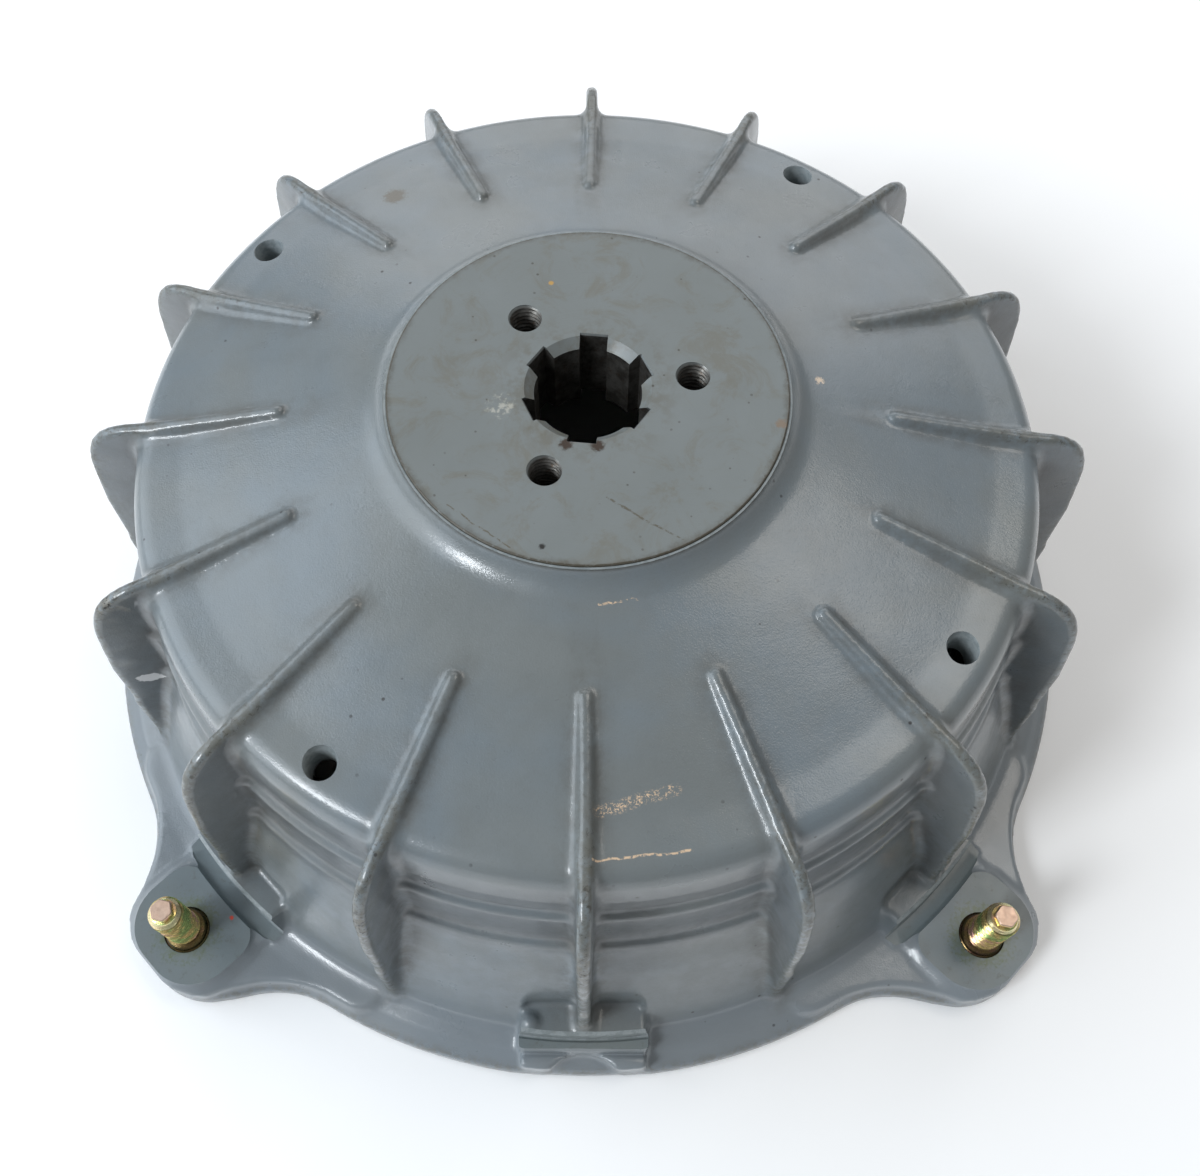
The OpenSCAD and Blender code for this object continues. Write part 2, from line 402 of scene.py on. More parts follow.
def spot(p, x, y, radius, soft=0.4):
    """Mask of a small round mark at a place on the upper side."""
    px, py, _ = p.split()
    wobble = p.math("MULTIPLY", p.math("SUBTRACT", p.noise(1.3, 2), 0.5), 1.4 * radius)
    dx = p.math("SUBTRACT", px, x)
    dy = p.math("SUBTRACT", py, y)
    d = p.math("SQRT", p.math("ADD", p.math("MULTIPLY", dx, dx), p.math("MULTIPLY", dy, dy)))
    return p.band(p.math("ADD", d, wobble), radius * (1 + soft), radius * (1 - soft))


def flake(p, place, along, length, width):
    """Mask of a long chip on any face, longest in one direction."""
    d = p.vector("SUBTRACT", p.mm, place)
    run = p.vector("DOT_PRODUCT", d, along)
    rest = p.vector("SUBTRACT", d, p.vector("SCALE", along, run))
    across = p.vector("LENGTH", rest)
    a = p.math("DIVIDE", run, length)
    b = p.math("DIVIDE", across, width)
    r = p.math("SQRT", p.math("ADD", p.math("MULTIPLY", a, a), p.math("MULTIPLY", b, b)))
    ragged = p.math("MULTIPLY", p.math("SUBTRACT", p.noise(0.9, 3), 0.5), 0.9)
    return p.band(p.math("ADD", r, ragged), 1.1, 0.9)


def stroke(p, x0, y0, x1, y1, width):
    """Mask of a thin broken line between two places on the upper side, used for scratches and for painted
    reflections.
    """
    px, py, _ = p.split()
    length = math.hypot(x1 - x0, y1 - y0)
    ux, uy = (x1 - x0) / length, (y1 - y0) / length
    dx = p.math("SUBTRACT", px, x0)
    dy = p.math("SUBTRACT", py, y0)
    along = p.math("ADD", p.math("MULTIPLY", dx, ux), p.math("MULTIPLY", dy, uy))
    over = p.math("SUBTRACT", along, p.math("MINIMUM", p.math("MAXIMUM", along, 0), length))
    side = p.math("SUBTRACT", p.math("MULTIPLY", dx, uy), p.math("MULTIPLY", dy, ux))
    side = p.math("ADD", side, p.math("MULTIPLY", p.math("SUBTRACT", p.noise(0.25, 2), 0.5), 1.6))
    d = p.math("SQRT", p.math("ADD", p.math("MULTIPLY", over, over), p.math("MULTIPLY", side, side)))
    broken = p.band(p.noise(0.9, 3, 0.7), 0.4, 0.56)
    return p.math("MULTIPLY", p.band(d, width, width * 0.35), broken)


def paint_base(p, tint=0.0):
    """Grey enamel colour with soft mottling and fine dirt."""
    cool = (0.140 - tint, 0.170, 0.190 - tint)
    warm = (0.147 - tint, 0.163, 0.163 - tint)
    colour = p.mix(p.band(p.noise(0.021, 4, 0.6, 0.4), 0.34, 0.68), cool, warm)
    colour = p.mix(p.band(p.noise(0.12, 5, 0.65), 0.45, 0.78, 0.0, 0.30), colour, (0.118, 0.130, 0.130))
    return p.mix(p.band(p.noise(1.6, 4, 0.7), 0.52, 0.80, 0.0, 0.30), colour, (0.110, 0.113, 0.105))


def cast_paint():
    """Glossy grey enamel over the rough casting: worn on the fins, grimy and painted darker in the corners,
    with painted shade on upright faces, painted light low down and painted warm reflections in front.
    """
    p = Paint("grey_enamel")
    colour = paint_base(p)
    edge = p.attribute("fin_edge")
    nose = p.attribute("fin_nose")
    crevice = p.attribute("crevice")
    rim = p.attribute("rim")

    px, py, pz = p.split()
    # Painted light: below 13 mm the enamel is blended towards a lighter, bluer grey, standing in for light
    # thrown up from the pale floor.
    colour = p.mix(p.band(pz, 13, 8.5, 0, 0.55), colour, (0.215, 0.240, 0.262))
    # Painted shade: upright faces of the fin flanks and of the wall under the shoulder are darkened towards a
    # dark blue-grey.
    upright_shade = p.attribute("upright_shade")
    colour = p.mix(p.math("MULTIPLY", upright_shade, p.band(p.noise(0.08, 4, 0.6), 0.2, 0.8, 0.45, 0.85)), colour,
                   (0.066, 0.073, 0.080))
    # Dirt and painted shade: where fins meet the body and on the lower wall between the fins, the enamel
    # darkens to a brown-grey; the same mask roughens the paint.
    grime_and_shade = p.math("MULTIPLY", crevice, p.band(p.noise(0.16, 5, 0.7), 0.32, 0.66))
    colour = p.mix(p.math("MULTIPLY", grime_and_shade, 0.62), colour, (0.068, 0.064, 0.052))
    film = p.math("MULTIPLY", edge, p.band(p.noise(0.45, 5, 0.75), 0.38, 0.58))
    colour = p.mix(p.math("MULTIPLY", film, 0.60), colour, (0.078, 0.072, 0.048))
    dark = p.math("MULTIPLY", edge, p.band(p.noise(0.8, 5, 0.8, 0.6), 0.56, 0.62))
    colour = p.mix(p.math("MULTIPLY", dark, 0.85), colour, (0.036, 0.032, 0.024))

    spread = p.math("ADD", nose, p.math("MULTIPLY", rim, 0.55))
    bare = p.math("MULTIPLY", spread, p.band(p.noise(0.55, 5, 0.75, 0.5), 0.46, 0.54))
    bare = p.math("MINIMUM", bare, 1.0)
    holes = p.math("MULTIPLY", nose, p.band(p.noise(0.95, 4, 0.75, 0.3), 0.55, 0.60))
    metal_colour = p.mix(p.noise(0.9, 4, 0.7), (0.10, 0.096, 0.082), (0.30, 0.29, 0.26))
    colour = p.mix(bare, colour, metal_colour)
    colour = p.mix(holes, colour, (0.012, 0.011, 0.010))
    face_chip = flake(p, (-101.9, -44.1, 42.9), (0.837, 0.338, -0.456), 3.3, 1.7)
    colour = p.mix(face_chip, colour, (0.62, 0.62, 0.62))
    pits = p.math("MULTIPLY", p.band(p.cells(0.21), 0.10, 0.05), p.band(p.noise(0.05, 3), 0.50, 0.62))
    colour = p.mix(p.math("MULTIPLY", pits, 0.9), colour, (0.022, 0.021, 0.020))
    # Painted reflections: the broken tan line on the shoulder and the tan specks on the web in front stand in
    # for a warm lamp reflected in the enamel; the thin line near the hub is a scratch.
    warm_reflection_line = stroke(p, *at(96.3, 1), *at(96.3, 12.4), 0.32)
    warm_reflection_specks = p.math("MULTIPLY", stroke(p, *at(87.2, 2.0), *at(84.6, 12), 1.5),
                    p.band(p.noise(2.4, 3, 0.7), 0.50, 0.56))
    graze = stroke(p, *at(48.2, 3), *at(48.3, 12.3), 0.25)
    reflection_and_scratch_mask = p.math("MAXIMUM", warm_reflection_specks, p.math("MAXIMUM", graze, warm_reflection_line))
    colour = p.mix(reflection_and_scratch_mask, colour, (0.62, 0.45, 0.30))
    nick = p.math("MULTIPLY", spot(p, *at(50.7, 97.3), 1.0), p.band(p.noise(1.2, 3), 0.42, 0.52))
    colour = p.mix(nick, colour, (0.62, 0.50, 0.38))
    colour = p.mix(spot(p, *at(82.1, -144.4), 2.6), colour, (0.090, 0.082, 0.062))

    r = p.math("SQRT", p.math("ADD", p.math("MULTIPLY", px, px), p.math("MULTIPLY", py, py)))
    seam = p.math("MULTIPLY", p.band(r, 43.5, 42.9), p.band(p.noise(0.5, 5, 0.8), 0.3, 0.5, 0.45, 0.95))
    colour = p.mix(seam, colour, (0.055, 0.048, 0.034))

    calm = p.math("SUBTRACT", 1, p.math("MULTIPLY", edge, 0.75), clamp=True)
    peel = p.math("MULTIPLY", p.noise(0.75, 2, 0.5), calm)
    fine = p.math("MULTIPLY", p.noise(2.7, 2, 0.6), calm)
    sand = p.noise(0.055, 1.5, 0.5)
    normal = p.bump(sand, 0.32)
    normal = p.bump(peel, 0.022, under=normal)
    normal = p.bump(fine, 0.040, under=normal)
    gone = p.math("ADD", p.math("ADD", bare, holes), p.math("MULTIPLY", pits, 0.8), clamp=True)
    normal = p.bump(gone, 0.10, strength=-0.8, under=normal)
    gloss = p.band(p.noise(0.07, 4, 0.6), 0.3, 0.7, 0.26, 0.40)
    rough = p.math("ADD", gloss, p.math("MULTIPLY", p.math("MAXIMUM", grime_and_shade, film), 0.22), clamp=True)
    rough = p.math("ADD", rough, p.math("MULTIPLY", bare, 0.15), clamp=True)
    coat = p.math("MULTIPLY", p.math("SUBTRACT", 1, gone), 0.55)
    return p.set(color=colour, rough=rough, metal=p.math("MULTIPLY", bare, 0.75), normal=normal, coat=coat,
                 coat_rough=0.07, coat_normal=normal)


def pad_paint():
    """The same enamel, thinner and flatter, over milled faces."""
    p = Paint("enamel_on_milled")
    colour = paint_base(p, 0.004)
    colour = p.mix(p.band(p.noise(0.5, 5, 0.7), 0.56, 0.74, 0, 0.5), colour, (0.085, 0.085, 0.070))
    px, py, _ = p.split()
    r = p.math("SQRT", p.math("ADD", p.math("MULTIPLY", px, px), p.math("MULTIPLY", py, py)))
    stains = None
    for a in LUG_ANGLES:
        mark = spot(p, *at(STUD_R, a), 7.2, 0.24)
        stains = mark if stains is None else p.math("MAXIMUM", stains, mark)
    stained = p.math("MULTIPLY", stains, p.band(p.noise(0.5, 4, 0.6), 0.3, 0.62, 0.1, 0.8))
    colour = p.mix(stained, colour, (0.10, 0.125, 0.060))
    colour = p.mix(spot(p, *at(125.3, -42.6), 0.5), colour, (0.55, 0.04, 0.015))
    # Painted highlight: the milled pilot wall is lightened in broken streaks, standing in for the light it
    # catches.
    wall = p.band(r, PILOT_R + 0.5, PILOT_R + 0.1)
    wall_highlight = p.math("MULTIPLY", wall, p.band(p.noise(0.6, 4, 0.7), 0.40, 0.58, 0.45, 1.0))
    colour = p.mix(p.math("MULTIPLY", wall_highlight, 0.55), colour, (0.33, 0.36, 0.37))
    normal = p.bump(p.noise(0.5, 3), 0.03)
    normal = p.bump(p.noise(3.0, 3), 0.008, under=normal)
    return p.set(color=colour, rough=p.band(p.noise(0.15, 4), 0.3, 0.7, 0.36, 0.50), normal=normal, coat=0.25,
                 coat_rough=0.15, coat_normal=normal)


def hub_paint():
    """Thin enamel over the faced steel hub: flatter, greener, smudged and scratched."""
    p = Paint("enamel_on_hub")
    colour = p.mix(p.band(p.noise(0.035, 4, 0.6), 0.3, 0.7), (0.168, 0.188, 0.190), (0.155, 0.172, 0.170))
    px, py, _ = p.split()
    r = p.math("SQRT", p.math("ADD", p.math("MULTIPLY", px, px), p.math("MULTIPLY", py, py)))
    smudge = p.math("MULTIPLY", p.band(p.noise(0.09, 6, 0.75, 0.8), 0.48, 0.68), 0.55)
    colour = p.mix(smudge, colour, (0.130, 0.120, 0.090))
    near_bore = p.math("MULTIPLY", p.band(r, 22, 14.5), p.band(p.noise(0.22, 5, 0.7), 0.42, 0.62))
    colour = p.mix(p.math("MULTIPLY", near_bore, 0.5), colour, (0.105, 0.095, 0.070))
    specks = p.math("MULTIPLY", p.band(p.cells(0.34), 0.13, 0.07), p.band(p.noise(0.13, 3), 0.50, 0.60))
    colour = p.mix(p.math("MULTIPLY", specks, 0.8), colour, (0.050, 0.043, 0.032))
    ragged = p.math("ADD", r, p.math("MULTIPLY", p.math("SUBTRACT", p.noise(0.16, 5, 0.75), 0.5), 4.0))
    rim = p.math("ADD", p.band(r, 42.05, 42.45), p.math("MULTIPLY", p.band(ragged, 40.9, 42.6), 0.55))
    rim = p.math("MULTIPLY", rim, p.band(p.noise(0.5, 5, 0.8), 0.34, 0.54, 0.35, 1.0), clamp=True)
    colour = p.mix(rim, colour, (0.060, 0.052, 0.036))
    colour = p.mix(stroke(p, 4.0, -27.0, 19.0, -36.5, 0.30), colour, (0.090, 0.082, 0.062))
    colour = p.mix(stroke(p, -28.0, -29.0, -15.0, -38.5, 0.24), colour, (0.100, 0.090, 0.066))
    colour = p.mix(p.math("MULTIPLY", spot(p, -8.4, 27.7, 0.55), 0.75), colour, (0.50, 0.28, 0.045))
    colour = p.mix(p.math("MULTIPLY", spot(p, 40.3, -8.9, 1.1), 0.6), colour, (0.20, 0.12, 0.06))
    scuff = p.math("MULTIPLY", spot(p, -18.3, -4.8, 2.6), p.band(p.noise(0.9, 4), 0.45, 0.62, 0, 0.6))
    colour = p.mix(scuff, colour, (0.46, 0.45, 0.39))
    for x, y in ((-4.4, -14.3), (2.1, -14.7)):
        rust = p.math("MULTIPLY", spot(p, x, y, 1.3), p.band(p.noise(1.4, 4), 0.30, 0.40))
        colour = p.mix(rust, colour, (0.032, 0.018, 0.010))
    pit = spot(p, -8.7, -38.2, 0.6)
    colour = p.mix(pit, colour, (0.015, 0.014, 0.013))
    rings = p.tree.nodes.new("ShaderNodeTexNoise")
    rings.noise_dimensions = "1D"
    rings.inputs["Scale"].default_value = 2.6
    p.put(rings.inputs["W"], r)
    normal = p.bump(rings.outputs[0], 0.012)
    normal = p.bump(p.noise(0.45, 3), 0.03, under=normal)
    normal = p.bump(p.noise(2.6, 3), 0.010, under=normal)
    normal = p.bump(p.math("ADD", pit, specks), 0.2, strength=-1, under=normal)
    return p.set(color=colour, rough=p.band(p.noise(0.1, 5, 0.65), 0.3, 0.7, 0.38, 0.56), normal=normal,
                 coat=0.12, coat_rough=0.2, coat_normal=normal)


def bore_metal():
    """Bare oily steel of the spline and the threads, coloured darker than steel as painted shade inside the
    holes.
    """
    p = Paint("bore_steel")
    # Near-black steel: partly oily steel, partly painted shade for the inside of the bore and the tapped
    # holes.
    colour = p.mix(p.band(p.noise(0.3, 5, 0.7), 0.35, 0.65), (0.050, 0.046, 0.040), (0.135, 0.130, 0.120))
    colour = p.mix(p.band(p.noise(0.7, 5, 0.75), 0.54, 0.68, 0, 0.8), colour, (0.070, 0.045, 0.028))
    _, _, z = p.split()
    colour = p.mix(p.band(z, 97.2, 97.9, 0, 0.8), colour, (0.20, 0.22, 0.22))
    streaks = p.vector("MULTIPLY", p.mm, (1.0, 1.0, 0.06))
    normal = p.bump(p.noise(2.2, 3, v=streaks), 0.03)
    return p.set(color=colour, rough=p.band(p.noise(0.5, 4), 0.3, 0.7, 0.34, 0.55), metal=0.7, normal=normal)


def bare_alloy():
    """Machined bare alloy of the base, with fine turning marks and stains."""
    p = Paint("machined_alloy")
    px, py, _ = p.split()
    r = p.math("SQRT", p.math("ADD", p.math("MULTIPLY", px, px), p.math("MULTIPLY", py, py)))
    colour = p.mix(p.band(p.noise(0.05, 5, 0.65), 0.35, 0.68), (0.44, 0.44, 0.43), (0.30, 0.30, 0.29))
    colour = p.mix(p.band(p.noise(0.35, 5, 0.75), 0.56, 0.72, 0, 0.7), colour, (0.15, 0.135, 0.11))
    rings = p.tree.nodes.new("ShaderNodeTexNoise")
    rings.noise_dimensions = "1D"
    rings.inputs["Scale"].default_value = 3.4
    rings.inputs["Detail"].default_value = 4
    p.put(rings.inputs["W"], r)
    normal = p.bump(rings.outputs[0], 0.03)
    normal = p.bump(p.noise(0.8, 4), 0.02, under=normal)
    return p.set(color=colour, rough=p.band(p.noise(0.2, 4), 0.3, 0.7, 0.30, 0.48), metal=0.9, normal=normal)


def cast_inside():
    """Unpainted sand-cast alloy inside the bell, dull and dusty."""
    p = Paint("cast_alloy")
    colour = p.mix(p.band(p.noise(0.03, 5, 0.6), 0.35, 0.66), (0.27, 0.27, 0.26), (0.20, 0.205, 0.205))
    colour = p.mix(p.band(p.noise(0.15, 5, 0.75), 0.50, 0.72, 0, 0.6), colour, (0.13, 0.110, 0.085))
    colour = p.mix(p.band(p.cells(0.3), 0.2, 0.1, 0, 0.5), colour, (0.06, 0.058, 0.055))
    normal = p.bump(p.noise(0.5, 5, 0.7), 0.30)
    normal = p.bump(p.noise(1.9, 3), 0.06, under=normal)
    return p.set(color=colour, rough=p.band(p.noise(0.3, 4), 0.3, 0.7, 0.5, 0.72), metal=0.55, normal=normal)


def ring_iron():
    """Turned cast iron, greyed and lightly rusted."""
    p = Paint("ring_iron")
    colour = p.mix(p.band(p.noise(0.06, 5, 0.65), 0.35, 0.66), (0.21, 0.20, 0.19), (0.13, 0.125, 0.12))
    rust = p.band(p.noise(0.10, 6, 0.75, 0.6), 0.50, 0.66)
    colour = p.mix(p.math("MULTIPLY", rust, 0.75), colour, (0.16, 0.070, 0.030))
    turned = p.vector("MULTIPLY", p.mm, (0.03, 0.03, 1.0))
    normal = p.bump(p.noise(2.4, 3, v=turned), 0.02)
    normal = p.bump(p.noise(0.9, 4), 0.03, under=normal)
    rough = p.math("ADD", p.band(p.noise(0.2, 4), 0.3, 0.7, 0.34, 0.5), p.math("MULTIPLY", rust, 0.3))
    return p.set(color=colour, rough=rough, metal=p.math("SUBTRACT", 0.9, p.math("MULTIPLY", rust, 0.6)),
                 normal=normal)


def yellow_zinc():
    """Yellow passivated zinc: gold drifting to pink and green, darker brown near the pad."""
    p = Paint("yellow_zinc")
    _, _, z = p.split()
    drift = p.noise(0.16, 3, 0.6, 0.9)
    colour = p.mix(p.band(drift, 0.38, 0.50), (0.36, 0.47, 0.17), (0.72, 0.55, 0.22))
    colour = p.mix(p.band(drift, 0.52, 0.64), colour, (0.72, 0.40, 0.33))
    colour = p.mix(p.band(p.noise(0.9, 5, 0.7), 0.52, 0.76, 0, 0.35), colour, (0.17, 0.105, 0.045))
    # Painted shade: the thread roots are darkened to near black so that the grooves show between the crests.
    colour = p.mix(p.math("MULTIPLY", p.attribute("root"), 0.93), colour, (0.030, 0.020, 0.010))
    # Painted highlight: the chamfer at the end of the thread is lightened to a bright gold band.
    ring = p.math("MULTIPLY", p.band(z, 26.7, 27.0), p.band(z, 28.3, 28.0))
    colour = p.mix(p.math("MULTIPLY", ring, 0.6), colour, (0.90, 0.78, 0.52))
    # The collar is darkened to a dark brown towards the pad.
    collar = p.band(z, 12.4, 11.0)
    colour = p.mix(p.math("MULTIPLY", collar, 0.88), colour, (0.070, 0.044, 0.020))
    tip = p.band(z, 29.9, 30.2)
    tip_colour = p.mix(p.noise(0.8, 5, 0.7), (0.44, 0.27, 0.19), (0.80, 0.62, 0.50))
    colour = p.mix(tip, colour, tip_colour)
    normal = p.bump(p.noise(2.8, 4, 0.65), 0.03)
    rough_tip = p.math("MULTIPLY", tip, 0.20)
    rough = p.math("ADD", p.band(p.noise(0.7, 4), 0.3, 0.7, 0.18, 0.34), rough_tip)
    return p.set(color=colour, rough=rough, metal=0.95, normal=normal)


ENAMEL = cast_paint()
MILLED = pad_paint()
HUB = hub_paint()
BORE = bore_metal()
ALLOY = bare_alloy()
INSIDE = cast_inside()
IRON = ring_iron()
ZINC = yellow_zinc()


# ---------------------------------------------------------------- the casting

def casting_grid():
    """Columns x, y and heights of the grid that the casting is sampled on, and its first corner."""
    xs = np.arange(-149.6, 149.7, STEP, dtype=np.float32)
    x, y = np.meshgrid(xs, xs, indexing="ij")
    return x, y, GRID_Z, np.array([xs[0], xs[0], GRID_Z[0]])


def casting_shape(x, y, zs):
    """Signed distance to the cast surface for columns x, y and heights zs."""
    r = np.sqrt(x * x + y * y)
    a = np.degrees(np.arctan2(x, -y))
    z3 = zs.reshape((1,) * x.ndim + (-1,))

    fine_r = np.arange(0, 216, 0.4, dtype=np.float32)
    fine_z = zs[0] + STEP / 2 * np.arange(2 * len(zs), dtype=np.float32)
    table_r, table_z = np.meshgrid(fine_r, fine_z, indexing="ij")
    bell = blur(polygon_distance(bell_profile(), table_r, table_z), 0.85)[:, ::2][:, :len(zs)]
    outline = blur(polygon_distance(fin_profile(), table_r, table_z), 0.9)[:, ::2][:, :len(zs)]

    def rows(table, u):
        at_row = np.clip(u / 0.4, 0, len(fine_r) - 2)
        i = at_row.astype(np.int32)
        w = (at_row - i)[..., None].astype(np.float32)
        return table[i] * (1 - w) + table[i + 1] * w

    shape = rows(bell, r)

    # lugs, four alike
    part = a - (45 + 90 * np.round((a - 45) / 90))
    t, u = r * np.sin(np.radians(part)), r * np.cos(np.radians(part))
    foot = join(rounded_box(t, u, 16.8, 90, 146, 13), r - 126.4, 20)
    mid = np.radians(np.clip(part, -18.6, 18.6))
    rad = np.radians(part)
    across, along = r * np.sin(rad) - 119.1 * np.sin(mid), r * np.cos(rad) - 119.1 * np.cos(mid)
    capsule = np.sqrt(across ** 2 + along ** 2) - 5.9
    plate = np.minimum(capsule, np.maximum(foot + 1.6, r * np.radians(np.abs(part) - 17)))
    outer_corners = rounded_box(t, u, 13.5, 100, 145.1, 11)
    boss = np.maximum(outer_corners, rounded_box(t, u, 13.5, PAD_IN - 0.2, 190, 5.5))
    c = lambda f: f[..., None]
    slab = meet(c(foot), z3 - 3.4, 0.9)
    plates = meet(c(plate) - 0.10 * (PLATE_Z - z3), z3 - PLATE_Z, 1.0)
    raised = meet(c(boss) - 1.25 * np.clip(PAD_Z - z3, 0, 2.4), z3 - STEP_Z - 0.6, 0.5)
    under = np.maximum(c(np.abs(t) - 14.4), c(u - 126)) - 0.8 * np.clip(8.2 - z3, 0, 2)
    under = meet(under, z3 - 8.2, 0.5)
    raised = np.maximum(join(raised, under, 0.5), c(foot))
    block = np.maximum(c(np.abs(t) - 14.2) - 0.22 * (PILOT_Z - z3), c(u - 121.5))
    block = meet(block, z3 - PILOT_Z, 0.7)
    lug = join(join(slab, plates, 0.8), raised, 1.0)
    lug = join(lug, block, 1.2)
    lug = np.maximum(lug, c(100 - u))

    # front bracket
    tb, ub = np.where(np.abs(a) < 90, x, 999), -y
    front = np.maximum(c(np.abs(tb) - 14.2) - 0.12 * (PILOT_Z - z3), c(ub - 121.5))
    front = meet(front, z3 - PILOT_Z, 0.7)
    shelf = meet(np.maximum(c(np.abs(tb) - 14.4), c(ub - 122.3)), z3 - STEP_Z, 0.6)
    prongs = np.maximum(c(np.abs(tb) - 14.5), c(r - 126.3))
    scoop = c(np.sqrt(tb ** 2 + (ub - 132.3) ** 2) - 10.4) + 0.12 * (z3 - 3)
    prongs = meet(meet(prongs, z3 - PAD_Z, 0.6), -scoop, 0.8)
    groove = np.maximum(np.abs(c(ub - 122.7)) - 0.35, PAD_Z - 0.7 - z3)
    prongs = np.maximum(prongs, -groove)
    bracket = join(join(front, shelf, 0.6), prongs, 0.4)
    nub = np.sqrt(c((tb + 12.0) ** 2 + (ub - 116.6) ** 2) + (1.3 * (z3 - 16.2)) ** 2) - 2.0
    bracket = np.maximum(join(bracket, nub, 0.9), c(100 - ub))

    # pockets over the blocks
    pocket_t = np.where(np.abs(a) < 22.5, tb, t)
    pocket_u = np.where(np.abs(a) < 22.5, ub, u)
    arch = rounded_box(c(pocket_t), z3 + 0 * c(pocket_t), 13.4, 0, 27.5, 7.5)
    pocket = meet(arch, c(112.2 - pocket_u), 1.5)
    shape = meet(shape, -np.maximum(pocket, 12 - z3), 1.0)

    shape = join(shape, lug, 1.6)
    shape = join(shape, bracket, 1.0)

    # fins, with the small differences of hand-made patterns
    pitch = 360 / FIN_COUNT
    number = np.round(a / pitch).astype(int) % FIN_COUNT
    shift = RNG_FINS[number]
    bend = RNG_BEND[number]
    fa = np.radians(a - pitch * np.round(a / pitch))
    tf = r * np.sin(fa) - shift - bend * np.sin((r - 66) / 17)
    uf = r * np.cos(fa)
    s = rows(outline, uf - RNG_START[number] * np.clip((84 - uf) / 18, 0, 1))
    half = 1.38 + 0.044 * np.clip(-s, 0, 16)
    fins = meet(c(np.abs(tf)) - half, s, 1.15)
    fillet = np.clip(0.9 + 0.05 * (c(uf) - 68), 0.9, 2.6)
    total = join(shape, fins, fillet)
    near = np.clip(1 - (np.abs(shape) + np.abs(fins)) / 5.0, 0, 1)
    return total, s, fins, near


NOSE_HIGH = np.array([0, 0, 0, 1, 0, 0, 0, 0, 0, 0, 0, 0, 0, 1, 0, 0], dtype=np.float32)
NOSE_WEAR = np.array([1.0, 0.45, 0.35, 0.5, 0.6, 0.4, 0.3, 0.35, 0.3, 0.35, 0.4, 0.5, 0.85, 0.95, 0.55, 1.0])
RNG_FINS = RNG.uniform(-0.35, 0.35, FIN_COUNT).astype(np.float32)
RNG_BEND = RNG.uniform(-0.30, 0.30, FIN_COUNT).astype(np.float32)
RNG_START = RNG.uniform(-1.2, 1.2, FIN_COUNT).astype(np.float32)


def casting_skin():
    """The cast outside as one closed mesh, before machining."""
    x, y, zs, origin = casting_grid()
    slabs = [casting_shape(x[i:i + 60], y[i:i + 60], zs)[0] for i in range(0, len(x), 60)]
    field = np.concatenate(slabs).astype(np.float32)
    field[..., 0] = 1.0
    points, quads = surface(field, origin)
    for _ in range(2):
        value = sample(field, origin, points)
        slope = np.zeros_like(points)
        for axis in range(3):
            step = np.zeros(3)
            step[axis] = 0.5 * STEP
            rise = sample(field, origin, points + step) - sample(field, origin, points - step)
            slope[:, axis] = rise / STEP
        push = value / np.maximum((slope ** 2).sum(axis=1), 0.2)
        points -= np.clip(push, -0.3, 0.3)[:, None] * slope
    return points, quads, field, origin


def sample(field, origin, points):
    """Value of the field between its grid points."""
    g = (points - origin) / STEP
    i = np.clip(g.astype(int), 0, np.array(field.shape) - 2)
    w = g - i
    value = np.zeros(len(points))
    for cx in (0, 1):
        for cy in (0, 1):
            for cz in (0, 1):
                f = field[i[:, 0] + cx, i[:, 1] + cy, i[:, 2] + cz]
                value += f * np.abs(1 - cx - w[:, 0]) * np.abs(1 - cy - w[:, 1]) * np.abs(1 - cz - w[:, 2])
    return value


def smooth_normals(obj, field, origin):
    """Cast faces take their shading normals from the distance field, so that no facets show."""
    mesh = obj.data
    co = np.empty(len(mesh.vertices) * 3, np.float32)
    mesh.vertices.foreach_get("co", co)
    co = co.reshape(-1, 3) / MM
    slope = np.zeros((len(co), 3))
    for axis in range(3):
        step = np.zeros(3)
        step[axis] = 0.5 * STEP
        slope[:, axis] = sample(field, origin, co + step) - sample(field, origin, co - step)
    slope /= np.maximum(np.linalg.norm(slope, axis=1), 1e-6)[:, None]
    normals = np.empty(len(mesh.loops) * 3, np.float32)
    mesh.corner_normals.foreach_get("vector", normals)
    normals = normals.reshape(-1, 3)
    vertex = np.empty(len(mesh.loops), np.int32)
    mesh.loops.foreach_get("vertex_index", vertex)
    starts = np.empty(len(mesh.polygons), np.int32)
    totals = np.empty(len(mesh.polygons), np.int32)
    slots = np.empty(len(mesh.polygons), np.int32)
    mesh.polygons.foreach_get("loop_start", starts)
    mesh.polygons.foreach_get("loop_total", totals)
    mesh.polygons.foreach_get("material_index", slots)
    cast = np.repeat(slots == 0, totals)[np.argsort(np.argsort(np.repeat(starts, totals), kind="stable"))]
    wanted = slope[vertex]
    agree = (wanted * normals).sum(axis=1) > 0.5
    use = cast & agree
    normals[use] = wanted[use]
    mesh.normals_split_custom_set(normals)


